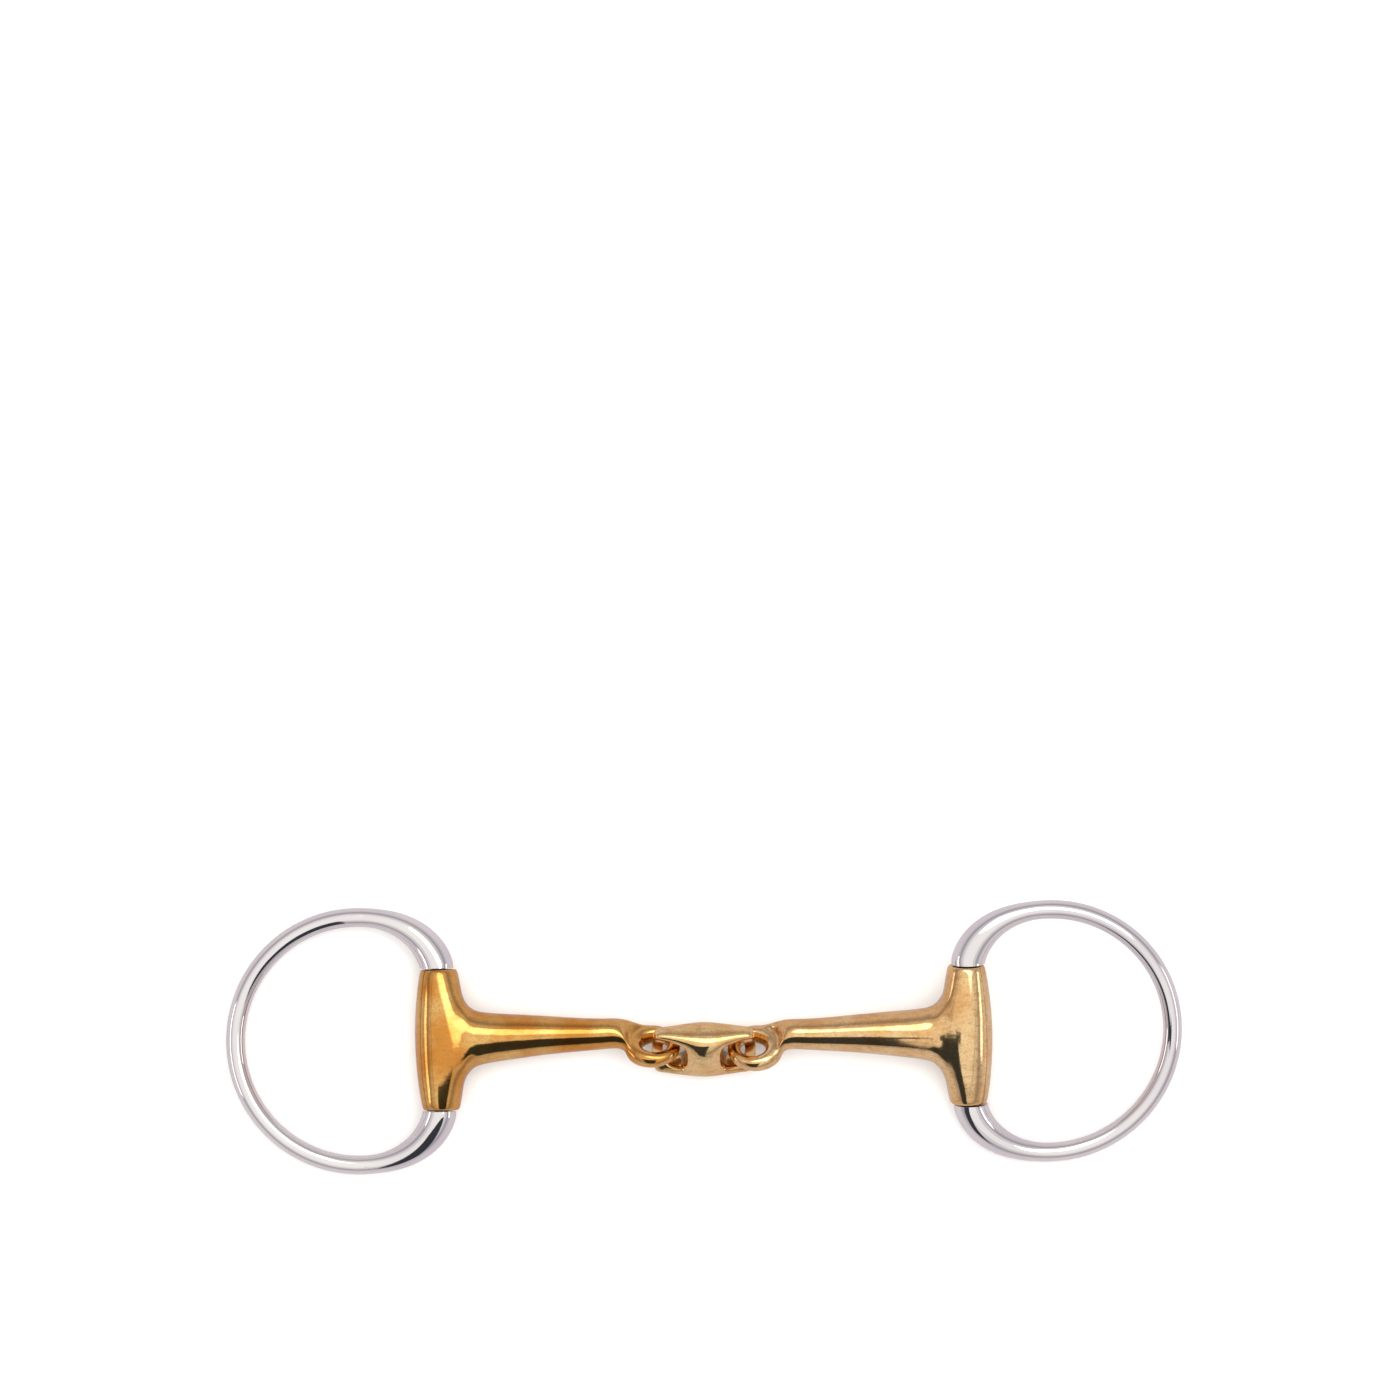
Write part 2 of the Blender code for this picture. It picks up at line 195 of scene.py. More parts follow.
# --------------------------------------------------------------------------------------------------
# Cheek rings. Each is bent from round stainless bar, forged thicker towards its two ends, and polished
# to a mirror. The ends are closed over a pin, so the ring swings on the barrel of the mouthpiece.
# --------------------------------------------------------------------------------------------------
INWARD = {"left": 1.0, "right": -1.0}
RING_TILT = {"left": math.radians(4.6), "right": math.radians(3.0)}
RING_START = Vector((0.0006, 0.0199))       # the wire's end, from the barrel's middle
RING_COLLAR = Vector((0.0, 0.0008))         # it leaves the barrel square for this far
ELBOW_HANDLES = (Vector((0.0022, 0.0271)), Vector((0.0092, 0.0344)))
RING_BEND = 0.0228                          # where the elbow runs into the round part
RING_RADIUS = 0.0344
CIRCLE_HANDLE = RING_RADIUS * 4.0 / 3.0 * (math.sqrt(2.0) - 1.0)
WIRE_RADIUS = 0.0026
ELBOW_END_RADIUS = 0.00465
ELBOW_TAPER = 0.027
SHARP_EDGE = math.radians(50.0)
joints = {joint["name"]: joint for joint in frame["joints"]}


def polish_group():
    """Fine polishing lines and a slow waviness: a mask for roughness and a height for bump."""
    group = bpy.data.node_groups.new("hand_polish", "ShaderNodeTree")
    face = group.interface
    face.new_socket("Vector", in_out="INPUT", socket_type="NodeSocketVector")
    face.new_socket("Scale", in_out="INPUT", socket_type="NodeSocketFloat").default_value = 900.0
    stretch_socket = face.new_socket("Stretch", in_out="INPUT", socket_type="NodeSocketVector")
    stretch_socket.default_value = (1.0, 1.0, 1.0)
    face.new_socket("Mask", in_out="OUTPUT", socket_type="NodeSocketFloat")
    face.new_socket("Height", in_out="OUTPUT", socket_type="NodeSocketFloat")
    nodes, links = group.nodes, group.links
    source, result = nodes.new("NodeGroupInput"), nodes.new("NodeGroupOutput")
    stretch = nodes.new("ShaderNodeVectorMath")
    stretch.operation = "MULTIPLY"
    links.new(source.outputs["Vector"], stretch.inputs[0])
    links.new(source.outputs["Stretch"], stretch.inputs[1])
    lines = nodes.new("ShaderNodeTexNoise")
    lines.inputs["Detail"].default_value = 3.0
    links.new(stretch.outputs["Vector"], lines.inputs["Vector"])
    links.new(source.outputs["Scale"], lines.inputs["Scale"])
    waves = nodes.new("ShaderNodeTexNoise")
    waves.inputs["Scale"].default_value = 220.0
    waves.inputs["Detail"].default_value = 2.0
    links.new(source.outputs["Vector"], waves.inputs["Vector"])
    height = nodes.new("ShaderNodeMath")
    height.operation = "MULTIPLY_ADD"
    height.inputs[1].default_value = 0.25
    links.new(lines.outputs["Fac"], height.inputs[0])
    links.new(waves.outputs["Fac"], height.inputs[2])
    links.new(lines.outputs["Fac"], result.inputs["Mask"])
    links.new(height.outputs["Value"], result.inputs["Height"])
    return group


hand_polish = polish_group()


def spread(nodes, links, value, low, high, socket):
    """Feeds a socket with a 0 to 1 value laid between low and high."""
    span = nodes.new("ShaderNodeMapRange")
    span.inputs["To Min"].default_value = low
    span.inputs["To Max"].default_value = high
    links.new(value, span.inputs["Value"])
    links.new(span.outputs["Result"], socket)


def mirror_steel():
    material = bpy.data.materials.new("mirror_steel")
    material.use_nodes = True
    nodes, links = material.node_tree.nodes, material.node_tree.links
    shader = nodes["Principled BSDF"]
    shader.inputs["Metallic"].default_value = 1.0
    place = nodes.new("ShaderNodeTexCoord")
    polish = nodes.new("ShaderNodeGroup")
    polish.node_tree = hand_polish
    polish.inputs["Scale"].default_value = 1500.0
    links.new(place.outputs["Object"], polish.inputs["Vector"])
    cloud = nodes.new("ShaderNodeTexNoise")
    cloud.inputs["Scale"].default_value = 40.0
    links.new(place.outputs["Object"], cloud.inputs["Vector"])
    tint = nodes.new("ShaderNodeValToRGB")
    tint.color_ramp.elements[0].position = 0.35
    tint.color_ramp.elements[0].color = (0.74, 0.70, 0.73, 1.0)
    tint.color_ramp.elements[1].position = 0.65
    tint.color_ramp.elements[1].color = (0.82, 0.79, 0.79, 1.0)
    links.new(cloud.outputs["Fac"], tint.inputs["Fac"])
    links.new(tint.outputs["Color"], shader.inputs["Base Color"])
    spread(nodes, links, polish.outputs["Mask"], 0.03, 0.09, shader.inputs["Roughness"])
    bump = nodes.new("ShaderNodeBump")
    bump.inputs["Distance"].default_value = 0.00001
    bump.inputs["Strength"].default_value = 0.5
    links.new(polish.outputs["Height"], bump.inputs["Height"])
    links.new(bump.outputs["Normal"], shader.inputs["Normal"])
    return material


ring_steel = mirror_steel()


def ring_wire_tree():
    """Sweeps round bar along a path, thickening smoothly towards both of its ends."""
    tree = bpy.data.node_groups.new("forged_ring", "GeometryNodeTree")
    face = tree.interface
    face.new_socket("Geometry", in_out="INPUT", socket_type="NodeSocketGeometry")
    sizes = {"Wire radius": WIRE_RADIUS, "End radius": ELBOW_END_RADIUS, "Taper length": ELBOW_TAPER}
    for name, value in sizes.items():
        face.new_socket(name, in_out="INPUT", socket_type="NodeSocketFloat").default_value = value
    for name, value in (("Steps", 420), ("Sides", 64)):
        face.new_socket(name, in_out="INPUT", socket_type="NodeSocketInt").default_value = value
    face.new_socket("Material", in_out="INPUT", socket_type="NodeSocketMaterial")
    face.new_socket("Geometry", in_out="OUTPUT", socket_type="NodeSocketGeometry")
    nodes, links = tree.nodes, tree.links
    source, result = nodes.new("NodeGroupInput"), nodes.new("NodeGroupOutput")
    steps = nodes.new("GeometryNodeResampleCurve")
    along, whole = nodes.new("GeometryNodeSplineParameter"), nodes.new("GeometryNodeSplineLength")
    from_far_end = nodes.new("ShaderNodeMath")
    from_far_end.operation = "SUBTRACT"
    nearest = nodes.new("ShaderNodeMath")
    nearest.operation = "MINIMUM"
    taper = nodes.new("ShaderNodeMapRange")
    taper.interpolation_type = "SMOOTHSTEP"
    radius = nodes.new("GeometryNodeSetCurveRadius")
    section = nodes.new("GeometryNodeCurvePrimitiveCircle")
    section.inputs["Radius"].default_value = 1.0
    sweep_wire = nodes.new("GeometryNodeCurveToMesh")
    sweep_wire.inputs["Fill Caps"].default_value = True
    own_radius = nodes.new("GeometryNodeInputRadius")
    realize = nodes.new("GeometryNodeRealizeInstances")
    finish = nodes.new("GeometryNodeSetMaterial")
    links.new(source.outputs["Geometry"], steps.inputs["Curve"])
    links.new(source.outputs["Steps"], steps.inputs["Count"])
    links.new(whole.outputs["Length"], from_far_end.inputs[0])
    links.new(along.outputs["Length"], from_far_end.inputs[1])
    links.new(along.outputs["Length"], nearest.inputs[0])
    links.new(from_far_end.outputs["Value"], nearest.inputs[1])
    links.new(nearest.outputs["Value"], taper.inputs["Value"])
    links.new(source.outputs["Taper length"], taper.inputs["From Max"])
    links.new(source.outputs["End radius"], taper.inputs["To Min"])
    links.new(source.outputs["Wire radius"], taper.inputs["To Max"])
    links.new(steps.outputs["Curve"], radius.inputs["Curve"])
    links.new(taper.outputs["Result"], radius.inputs["Radius"])
    links.new(radius.outputs["Curve"], sweep_wire.inputs["Curve"])
    links.new(source.outputs["Sides"], section.inputs["Resolution"])
    links.new(section.outputs["Curve"], sweep_wire.inputs["Profile Curve"])
    links.new(own_radius.outputs["Radius"], sweep_wire.inputs["Scale"])
    links.new(sweep_wire.outputs["Mesh"], realize.inputs["Geometry"])
    links.new(realize.outputs["Geometry"], finish.inputs["Geometry"])
    links.new(source.outputs["Material"], finish.inputs["Material"])
    links.new(finish.outputs["Geometry"], result.inputs["Geometry"])
    return tree


forged_ring = ring_wire_tree()


def barrel_roll(side):
    return math.asin(joints[side + "_ring_swing"]["axis"][2])


def barrel_frame(side):
    """Puts the barrel's middle at its swing joint, and +Y along the joint's axis."""
    joint = joints[side + "_ring_swing"]
    yaw = math.atan2(-joint["axis"][0], joint["axis"][1])
    turn = Matrix.Rotation(yaw, 4, "Z") @ Matrix.Rotation(barrel_roll(side), 4, "X")
    return Matrix.Translation(joint["pos_m"]) @ turn


def mirrored(side):
    """Turns +X towards the middle of the bit."""
    return Matrix.Scale(INWARD[side], 4, Vector((1.0, 0.0, 0.0)))


def set_input(modifier, name, value):
    for item in modifier.node_group.interface.items_tree:
        if item.name == name and item.in_out == "INPUT":
            modifier[item.identifier] = value


def flat_mesh(piece, name):
    """Replaces a piece by the mesh that its modifiers make, with doubles merged and faces outwards."""
    evaluated = piece.evaluated_get(bpy.context.evaluated_depsgraph_get())
    mesh = bpy.data.meshes.new_from_object(evaluated)
    bpy.data.objects.remove(piece)
    bm = bmesh.new()
    bm.from_mesh(mesh)
    bmesh.ops.remove_doubles(bm, verts=bm.verts, dist=1e-6)
    bmesh.ops.recalc_face_normals(bm, faces=bm.faces)
    bm.to_mesh(mesh)
    bm.free()
    result = bpy.data.objects.new(name, mesh)
    scene.collection.objects.link(result)
    return result


def ring_curve(name):
    """The wire's middle line, an open loop from the barrel's upper end to its lower end."""
    start = RING_START + RING_COLLAR
    elbow_in, elbow_out = ELBOW_HANDLES
    top = Vector((RING_BEND, RING_RADIUS))
    far = Vector((RING_BEND + RING_RADIUS, 0.0))
    level, upright = Vector((CIRCLE_HANDLE, 0.0)), Vector((0.0, CIRCLE_HANDLE))
    upper = [
        (RING_START, RING_START, RING_START.lerp(start, 0.3)),
        (start, RING_START.lerp(start, 0.7), elbow_in),
        (top, elbow_out, top + level),
    ]

    def lowered(point):
        return Vector((point.x, -point.y))

    knots = upper + [(far, far + upright, far - upright)]
    for place, before, after in reversed(upper):
        knots.append((lowered(place), lowered(after), lowered(before)))
    curve = bpy.data.curves.new(name, "CURVE")
    curve.dimensions = "3D"
    curve.resolution_u = 64
    spline = curve.splines.new("BEZIER")
    spline.bezier_points.add(len(knots) - 1)
    for point, (place, before, after) in zip(spline.bezier_points, knots):
        point.handle_left_type = point.handle_right_type = "FREE"
        point.co = (-place.x, place.y, 0.0)
        point.handle_left = (-before.x, before.y, 0.0)
        point.handle_right = (-after.x, after.y, 0.0)
    holder = bpy.data.objects.new(name, curve)
    scene.collection.objects.link(holder)
    return holder


for side in ("left", "right"):
    wire = ring_curve(side + "_ring_path")
    sweep_modifier = wire.modifiers.new("forged_ring", "NODES")
    sweep_modifier.node_group = forged_ring
    set_input(sweep_modifier, "Material", ring_steel)
    cheek = flat_mesh(wire, side + "_cheek_ring")
    tilt = Matrix.Rotation(-INWARD[side] * RING_TILT[side], 4, "Y")
    cheek.data.transform(barrel_frame(side) @ tilt @ mirrored(side))
    if side == "right":
        cheek.data.flip_normals()
    cheek.data.shade_smooth()
    cheek.data.set_sharp_from_angle(angle=SHARP_EDGE)
    eased = cheek.modifiers.new("eased_ends", "BEVEL")
    eased.width = 0.00025
    eased.segments = 4
    eased.limit_method = "ANGLE"
    eased.angle_limit = SHARP_EDGE
    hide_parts(side + "_ring")
    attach(cheek, side + "_cheek")


# --------------------------------------------------------------------------------------------------
# Mouthpiece arms. Each is one copper-alloy casting: a bored barrel, a tapering shank that grows out of
# its side in a soft fillet, and an eye whose hole leans at 45 degrees. Polished, it tarnishes with use.
# --------------------------------------------------------------------------------------------------
BARREL_HALF = 0.0196
BARREL_END_RADIUS = 0.0051
BARREL_BULGE = 0.0019
BARREL_EDGE = 0.0012
BORE_RADIUS = 0.0022
PATCH_HALF = 0.0112             # half of the length of barrel that the shank grows out of
BARREL_STATIONS = (0.0, 0.5, 1.0, 1.32, 1.56)    # where its rings stand, in lengths of PATCH_HALF
SHOULDER = 0.22                 # how far the barrel's side swells out to meet the shank
SHOULDER_REACH = 1.5            # and how far along it, in lengths of PATCH_HALF
SHANK = (                       # from the barrel's axis, along the barrel, half width, half thickness
    (0.0086, 0.0001, 0.0083, 0.0062),
    (0.0110, 0.0002, 0.0073, 0.0062),
    (0.0153, 0.0003, 0.0067, 0.0062),
    (0.0220, 0.0005, 0.0061, 0.0059),
    (0.0300, 0.0007, 0.0053, 0.0053),
    (0.0390, 0.0006, 0.0046, 0.0047),
    (0.0460, 0.0007, 0.0042, 0.0044),
    (0.0510, 0.0010, 0.0041, 0.0043),
)
EYE_MIDDLE = Vector((0.0592, -0.0032, 0.0))
EYE_RING = (0.0058, 0.0050)     # half length and half width of the eye's centre line
EYE_BAR = (0.0026, 0.0018)      # half thickness in the plane of the eye, at its root and at its tip
EYE_DEPTH = (0.0029, 0.0020)    # half thickness along the hole
EYE_LEAN = math.radians(22.5)   # the root sits this far round the eye
PIVOT_LIFT = 0.0004             # the fold's axis runs this far above the middles of eyes and link
AROUND = 16
AROUND_BAR = 12
HOLE_AXIS = Vector((0.0, 1.0, 1.0)).normalized()
CROSS_AXIS = Vector((0.0, -1.0, 1.0)).normalized()


def swell(columns):
    """How much larger a control ring is than the round surface that subdivision makes of it."""
    return 6.0 / (4.0 + 2.0 * math.cos(math.tau / columns))


def square_step(i):
    """One coordinate of a walk round a square of 4 by 4 faces, 16 steps long."""
    return max(-2, min(2, abs(i % 16 - 8) - 4))


def patch_loop(grid, middle_row, first):
    """The 16 vertices round a patch of 4 by 4 faces about middle_row and column 0."""
    loop = []
    for i in range(16):
        row = grid[(middle_row + square_step(i - first)) % len(grid)]
        loop.append(row[square_step(i - first - 4) % len(row)])
    return loop


def skin_grid(bm, grid, middle_row):
    """Faces all round a closed grid, less the patch about middle_row and column 0."""
    rows = len(grid)
    for row in range(rows):
        columns = len(grid[row])
        after = grid[(row + 1) % rows]
        for column in range(columns):
            beside = (column + 1) % columns
            row_step = (row - middle_row + rows // 2) % rows - rows // 2
            column_step = (column + columns // 2) % columns - columns // 2
            if -2 <= row_step < 2 and -2 <= column_step < 2:
                continue
            bm.faces.new((grid[row][column], grid[row][beside], after[beside], after[column]))


def bridge(bm, first, second):
    """A band of faces between two loops of 16."""
    for i in range(16):
        j = (i + 1) % 16
        bm.faces.new((first[i], first[j], second[j], second[i]))


def barrel_profile():
    """Distance along the barrel and radius of each control ring, on the outside and then in the bore."""
    half = []
    for part in BARREL_STATIONS:
        v = part * PATCH_HALF
        half.append((v, BARREL_END_RADIUS + BARREL_BULGE * (1.0 - (v / BARREL_HALF) ** 2)))
    half.append((BARREL_HALF - 0.3 * BARREL_EDGE, BARREL_END_RADIUS))
    half.append((BARREL_HALF, BARREL_END_RADIUS - 0.5 * BARREL_EDGE))
    half.append((BARREL_HALF, BARREL_END_RADIUS - 1.5 * BARREL_EDGE))
    half.append((BARREL_HALF, BORE_RADIUS + 0.0002))
    half.append((BARREL_HALF - 0.0004, BORE_RADIUS))
    outside = [(-v, radius) for v, radius in reversed(half[1:])] + half
    inside = [(BARREL_HALF * part, BORE_RADIUS) for part in (0.5, 0.0, -0.5)]
    return outside, inside


def arm_cage():
    """The coarse cage of one arm: barrel and eye as closed grids, joined through a patch in each."""
    bm = bmesh.new()
    outside, inside = barrel_profile()
    middle = len(outside) // 2
    barrel = []
    for v, radius in outside + inside:
        near_shank = max(0.0, 1.0 - (v / (SHOULDER_REACH * PATCH_HALF)) ** 2)
        if len(barrel) >= len(outside):
            near_shank = 0.0
        ring = []
        for column in range(AROUND):
            angle = math.tau * column / AROUND
            corner = math.sin(2.0 * angle) ** 2 if math.cos(angle) > 0.01 else 0.0
            reach = radius * swell(AROUND) * (1.0 + SHOULDER * near_shank * corner)
            ring.append(bm.verts.new((reach * math.cos(angle), v, reach * math.sin(angle))))
        barrel.append(ring)
    skin_grid(bm, barrel, middle)
    eye = []
    for segment in range(AROUND):
        turn = math.tau * segment / AROUND
        root = 0.5 + 0.5 * math.cos(turn)
        bar = EYE_BAR[1] + (EYE_BAR[0] - EYE_BAR[1]) * root
        deep = EYE_DEPTH[1] + (EYE_DEPTH[0] - EYE_DEPTH[1]) * root
        along, across = -math.cos(turn - EYE_LEAN), math.sin(turn - EYE_LEAN)
        outward = Vector((along, 0.0, 0.0)) + across * CROSS_AXIS
        middle_line = EYE_MIDDLE + Vector((along * EYE_RING[0], 0.0, 0.0))
        middle_line += across * EYE_RING[1] * CROSS_AXIS
        ring = []
        for column in range(AROUND_BAR):
            angle = math.tau * column / AROUND_BAR
            reach = bar * swell(AROUND_BAR) * math.cos(angle)
            depth = deep * swell(AROUND_BAR) * math.sin(angle)
            ring.append(bm.verts.new(middle_line + reach * outward + depth * HOLE_AXIS))
        eye.append(ring)
    skin_grid(bm, eye, 0)
    loops = [patch_loop(barrel, middle, 0)]
    for s, y, half_width, half_thickness in SHANK:
        ring = []
        for i in range(16):
            angle = math.tau * i / 16
            across = half_width * swell(16) * math.cos(angle)
            up = half_thickness * swell(16) * math.sin(angle)
            ring.append(bm.verts.new((s, y + across, up)))
        loops.append(ring)
    root = []
    for i in range(16):
        row = eye[square_step(i - 6) % AROUND]
        root.append(row[square_step(i - 2) % AROUND_BAR])
    loops.append(root)
    for first, second in zip(loops, loops[1:]):
        bridge(bm, first, second)
    bmesh.ops.recalc_face_normals(bm, faces=bm.faces)
    return bm


def tarnish_group():
    """Patchy tarnish and fine dark specks on copper alloy, as two masks."""
    group = bpy.data.node_groups.new("tarnish", "ShaderNodeTree")
    face = group.interface
    face.new_socket("Vector", in_out="INPUT", socket_type="NodeSocketVector")
    face.new_socket("Amount", in_out="INPUT", socket_type="NodeSocketFloat").default_value = 0.5
    face.new_socket("Patches", in_out="OUTPUT", socket_type="NodeSocketFloat")
    face.new_socket("Specks", in_out="OUTPUT", socket_type="NodeSocketFloat")
    nodes, links = group.nodes, group.links
    source, result = nodes.new("NodeGroupInput"), nodes.new("NodeGroupOutput")
    patch = nodes.new("ShaderNodeTexNoise")
    patch.inputs["Scale"].default_value = 75.0
    patch.inputs["Detail"].default_value = 6.0
    patch.inputs["Roughness"].default_value = 0.6
    links.new(source.outputs["Vector"], patch.inputs["Vector"])
    lift = nodes.new("ShaderNodeMath")
    lift.operation = "ADD"
    links.new(patch.outputs["Fac"], lift.inputs[0])
    links.new(source.outputs["Amount"], lift.inputs[1])
    edge = nodes.new("ShaderNodeMapRange")
    edge.inputs["From Min"].default_value = 0.88
    edge.inputs["From Max"].default_value = 1.16
    links.new(lift.outputs["Value"], edge.inputs["Value"])
    links.new(edge.outputs["Result"], result.inputs["Patches"])
    speck = nodes.new("ShaderNodeTexNoise")
    speck.inputs["Scale"].default_value = 1500.0
    speck.inputs["Detail"].default_value = 2.0
    links.new(source.outputs["Vector"], speck.inputs["Vector"])
    sharpen = nodes.new("ShaderNodeMapRange")
    sharpen.inputs["From Min"].default_value = 0.50
    sharpen.inputs["From Max"].default_value = 0.72
    links.new(speck.outputs["Fac"], sharpen.inputs["Value"])
    links.new(sharpen.outputs["Result"], result.inputs["Specks"])
    return group


tarnish = tarnish_group()


def copper_alloy(name, amount, bright, amber):
    """Polished casting in two golds, browned by tarnish."""
    material = bpy.data.materials.new(name)
    material.use_nodes = True
    nodes, links = material.node_tree.nodes, material.node_tree.links
    shader = nodes["Principled BSDF"]
    shader.inputs["Metallic"].default_value = 1.0
    place = nodes.new("ShaderNodeTexCoord")
    worn = nodes.new("ShaderNodeGroup")
    worn.node_tree = tarnish
    worn.inputs["Amount"].default_value = amount
    links.new(place.outputs["Object"], worn.inputs["Vector"])
    gold = nodes.new("ShaderNodeMix")
    gold.data_type = "RGBA"
    gold.inputs["A"].default_value = (*bright, 1.0)
    gold.inputs["B"].default_value = (*amber, 1.0)
    links.new(worn.outputs["Patches"], gold.inputs["Factor"])
    speckled = nodes.new("ShaderNodeMix")
    speckled.data_type = "RGBA"
    speckled.inputs["B"].default_value = (0.42, 0.22, 0.06, 1.0)
    links.new(gold.outputs["Result"], speckled.inputs["A"])
    polish = nodes.new("ShaderNodeGroup")
    polish.node_tree = hand_polish
    polish.inputs["Stretch"].default_value = (0.4, 1.0, 1.0)
    links.new(place.outputs["Object"], polish.inputs["Vector"])
    grain = nodes.new("ShaderNodeMapRange")
    grain.inputs["From Min"].default_value = 0.45
    grain.inputs["From Max"].default_value = 0.75
    grain.inputs["To Max"].default_value = 0.40
    links.new(polish.outputs["Mask"], grain.inputs["Value"])
    faint = nodes.new("ShaderNodeMath")
    faint.operation = "MULTIPLY_ADD"
    faint.inputs[1].default_value = 0.35
    links.new(worn.outputs["Specks"], faint.inputs[0])
    links.new(grain.outputs["Result"], faint.inputs[2])
    links.new(faint.outputs["Value"], speckled.inputs["Factor"])
    links.new(speckled.outputs["Result"], shader.inputs["Base Color"])
    spread(nodes, links, polish.outputs["Mask"], 0.07, 0.17, shader.inputs["Roughness"])
    bump = nodes.new("ShaderNodeBump")
    bump.inputs["Distance"].default_value = 0.00005
    bump.inputs["Strength"].default_value = 0.8
    links.new(polish.outputs["Height"], bump.inputs["Height"])
    links.new(bump.outputs["Normal"], shader.inputs["Normal"])
    return material


# One alloy in two copies. The left arm's is darker and browner, partly tarnish and partly painted shade
# for the less light it mirrors; the right arm's paler golds are a painted highlight for the bright box
# it mirrors.
arm_alloy = {
    "left": copper_alloy("browned_and_shaded_copper_alloy", 0.55, (0.79, 0.50, 0.18), (0.64, 0.26, 0.05)),
    "right": copper_alloy("pale_and_lit_copper_alloy", 0.47, (0.86, 0.60, 0.32), (0.72, 0.38, 0.14)),
}


def smooth_piece(name, bm, matrix, flip, levels, material):
    """A cage set in its place and smoothed by subdivision."""
    bm.transform(matrix)
    piece = add_mesh_object(name, bm)
    if flip:
        piece.data.flip_normals()
    piece.data.shade_smooth()
    piece.data.materials.append(material)
    refine = piece.modifiers.new("refine", "SUBSURF")
    refine.levels = levels
    refine.render_levels = levels
    return piece


for side in ("left", "right"):
    roll = barrel_roll(side)
    eye_height = joints[side + "_fold"]["pos_m"][2] - PIVOT_LIFT
    barrel_height = joints[side + "_ring_swing"]["pos_m"][2]
    rise = (eye_height - barrel_height - EYE_MIDDLE.y * math.sin(roll)) / math.cos(roll)
    pitch = Matrix.Rotation(-INWARD[side] * math.asin(rise / EYE_MIDDLE.x), 4, "Y")
    arm = smooth_piece(
        side + "_mouthpiece_arm",
        arm_cage(),
        barrel_frame(side) @ pitch @ mirrored(side),
        side == "right",
        3,
        arm_alloy[side],
    )
    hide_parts(side + "_arm")
    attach(arm, side + "_arm")


# --------------------------------------------------------------------------------------------------
# Centre link. A plump oval casting of the same alloy, pierced near each end by a hole that leans the
# other way from the arms' eyes, so that each eye lies crosswise through it.
# --------------------------------------------------------------------------------------------------
LINK_X = (-0.0145, -0.01145, -0.0052, 0.0, 0.0052, 0.01145, 0.0145)
LINK_ACROSS = (-0.00835, -0.0048, 0.0, 0.0048, 0.00835)
LINK_HALF_THICKNESS = 0.0069
LINK_END_THICKNESS = (0.0026, 0.0009)   # half thickness of the end, at its corners and between them
LINK_FADE = (1.7, 2.6)                  # how fast the thickness falls towards them
LINK_RIM = 0.45                         # and towards the long edges
LINK_ROUNDING = 0.06                    # how far the corners are drawn in
LINK_WAIST = 0.9                        # the long edges' outer rows stand in this much
LINK_HOLE_COLUMNS = (1, 4)


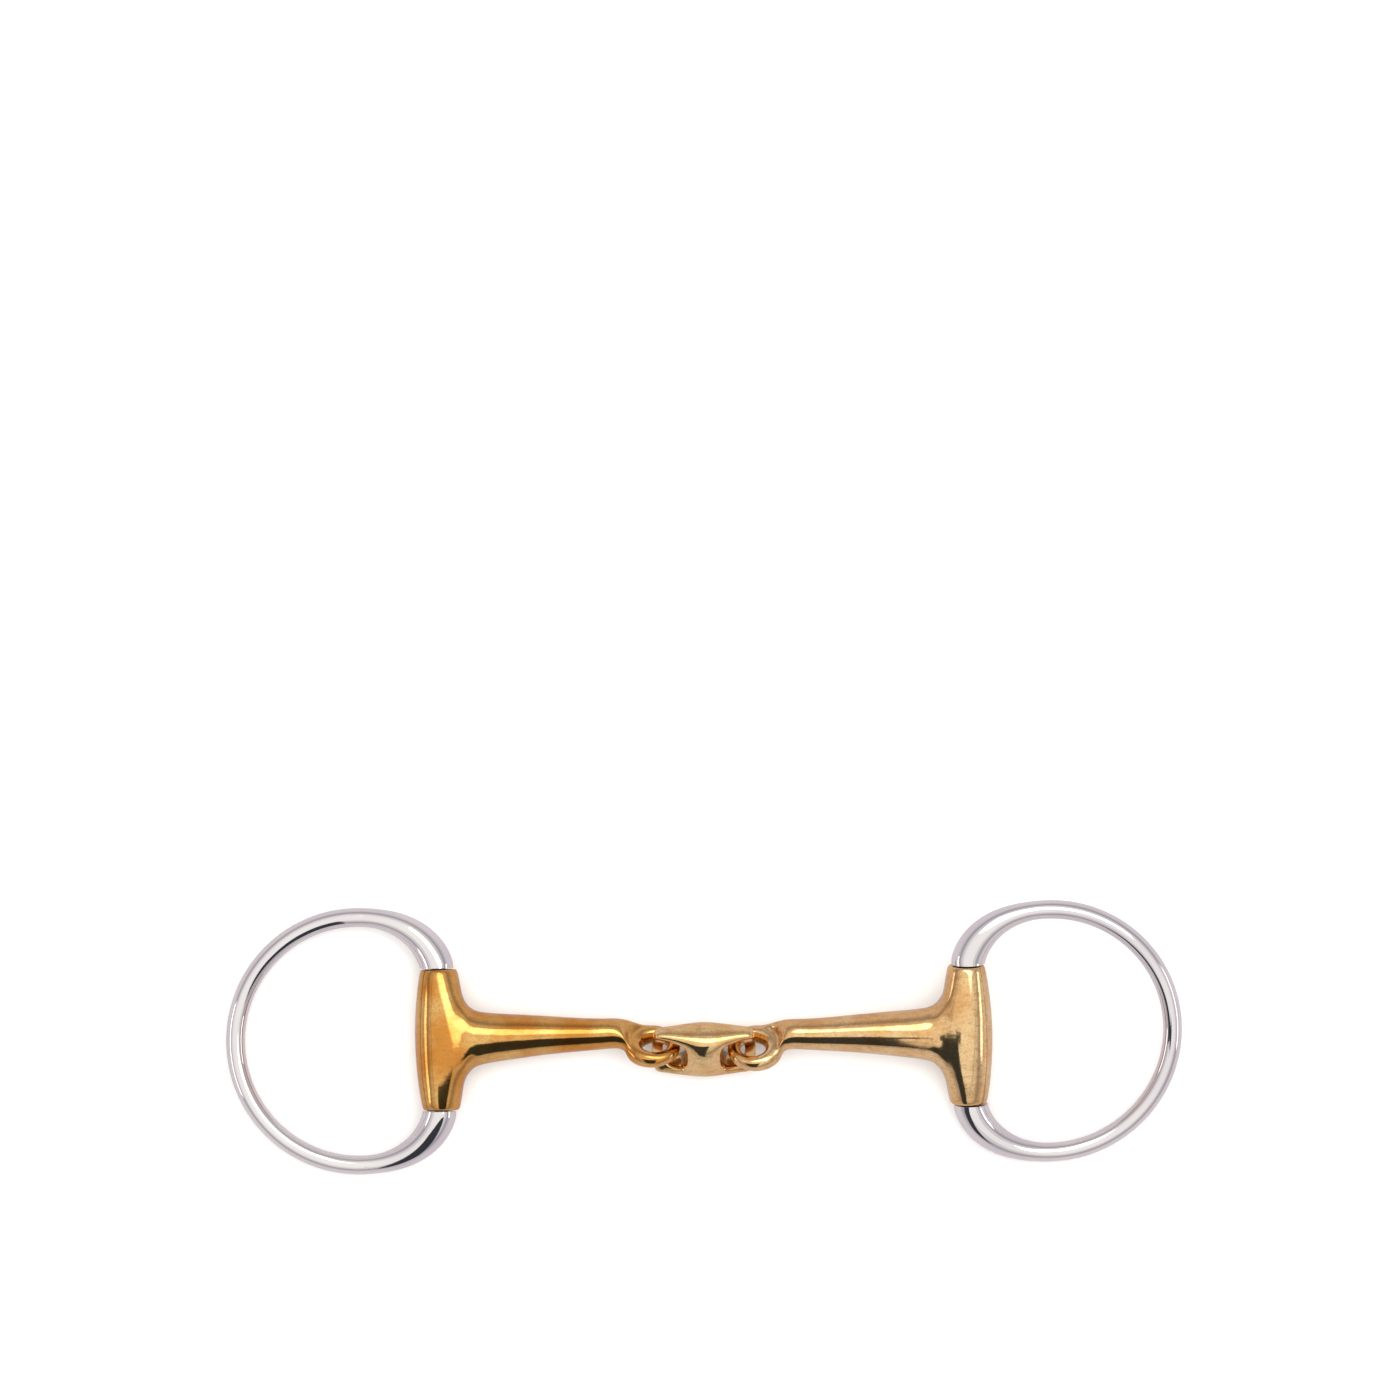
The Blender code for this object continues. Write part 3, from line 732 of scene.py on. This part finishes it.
def link_cage():
    """The outer faces of a grid of cells that follows the link's shape, less the cells of its holes."""
    bm = bmesh.new()
    corners = {}

    def corner(i, j, k):
        if (i, j, k) not in corners:
            x, across = LINK_X[i], LINK_ACROSS[j]
            out_x, out_across = abs(x) / LINK_X[-1], abs(across) / LINK_ACROSS[-1]
            on_edge = j in (0, len(LINK_ACROSS) - 1)
            row = 0 if on_edge else 1
            end = LINK_END_THICKNESS[row]
            fade = max(0.0, 1.0 - out_x ** 2) ** LINK_FADE[row]
            thickness = end + (LINK_HALF_THICKNESS * (1.0 - LINK_RIM * out_across ** 3) - end) * fade
            pull = 1.0 - LINK_ROUNDING * (out_x * out_across) ** 2
            waist = LINK_WAIST if k != 1 and on_edge else 1.0
            place = Vector((x * pull, 0.0, 0.0)) + across * pull * waist * HOLE_AXIS
            corners[i, j, k] = bm.verts.new(place + (k - 1) * thickness * CROSS_AXIS)
        return corners[i, j, k]

    def solid(i, j, k):
        inside = 0 <= i < len(LINK_X) - 1 and 0 <= j < len(LINK_ACROSS) - 1 and 0 <= k < 2
        return inside and not (i in LINK_HOLE_COLUMNS and j in (1, 2))

    steps = ((1, 0, 0), (0, 1, 0), (0, 0, 1))
    columns, rows = range(len(LINK_X) - 1), range(len(LINK_ACROSS) - 1)
    cells = [(i, j, k) for i in columns for j in rows for k in (0, 1) if solid(i, j, k)]
    for cell in cells:
        for axis in range(3):
            for side_step in (0, 1):
                sign = 2 * side_step - 1
                if solid(*(cell[n] + sign * steps[axis][n] for n in range(3))):
                    continue
                across, up = steps[(axis + 1) % 3], steps[(axis + 2) % 3]
                base = [cell[n] + side_step * steps[axis][n] for n in range(3)]
                face = []
                for a, b in ((0, 0), (1, 0), (1, 1), (0, 1)):
                    face.append(corner(*(base[n] + a * across[n] + b * up[n] for n in range(3))))
                bm.faces.new(face)
    bmesh.ops.recalc_face_normals(bm, faces=bm.faces)
    return bm


link_middle = (Vector(joints["left_fold"]["pos_m"]) + Vector(joints["right_fold"]["pos_m"])) / 2.0
link_middle.z -= PIVOT_LIFT
link = smooth_piece(
    "oval_link",
    link_cage(),
    Matrix.Translation(link_middle),
    False,
    4,
    copper_alloy("link_copper_alloy", 0.44, (0.85, 0.59, 0.29), (0.70, 0.37, 0.12)),
)
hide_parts("centre_link")
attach(link, "link")


# --------------------------------------------------------------------------------------------------
# Hinge pins. Turned steel rod inside each barrel, seen only in the narrow gaps at the ring's two ends.
# They are left as they were turned, with fine rings round them, and their colour is painted very dark as
# the shade in those narrow gaps.
# --------------------------------------------------------------------------------------------------
def turned_steel_in_gap_shade():
    material = bpy.data.materials.new("turned_steel_in_gap_shade")
    material.use_nodes = True
    nodes, links = material.node_tree.nodes, material.node_tree.links
    shader = nodes["Principled BSDF"]
    shader.inputs["Metallic"].default_value = 1.0
    place = nodes.new("ShaderNodeTexCoord")
    turned = nodes.new("ShaderNodeGroup")
    turned.node_tree = hand_polish
    turned.inputs["Scale"].default_value = 2000.0
    turned.inputs["Stretch"].default_value = (0.1, 1.0, 0.1)
    links.new(place.outputs["Object"], turned.inputs["Vector"])
    # Painted shade: this very dark grey stands for the shade in the narrow gaps at the ring's ends, not
    # for the steel's own colour.
    grey = nodes.new("ShaderNodeValToRGB")
    grey.color_ramp.elements[0].color = (0.12, 0.11, 0.11, 1.0)
    grey.color_ramp.elements[1].color = (0.30, 0.29, 0.29, 1.0)
    links.new(turned.outputs["Mask"], grey.inputs["Fac"])
    links.new(grey.outputs["Color"], shader.inputs["Base Color"])
    spread(nodes, links, turned.outputs["Mask"], 0.35, 0.55, shader.inputs["Roughness"])
    return material


pin_gap_shade = turned_steel_in_gap_shade()
for side in ("left", "right"):
    pin = frame["nodes"][side + "_hinge_pin"]
    pin.data.materials.clear()
    pin.data.materials.append(pin_gap_shade)
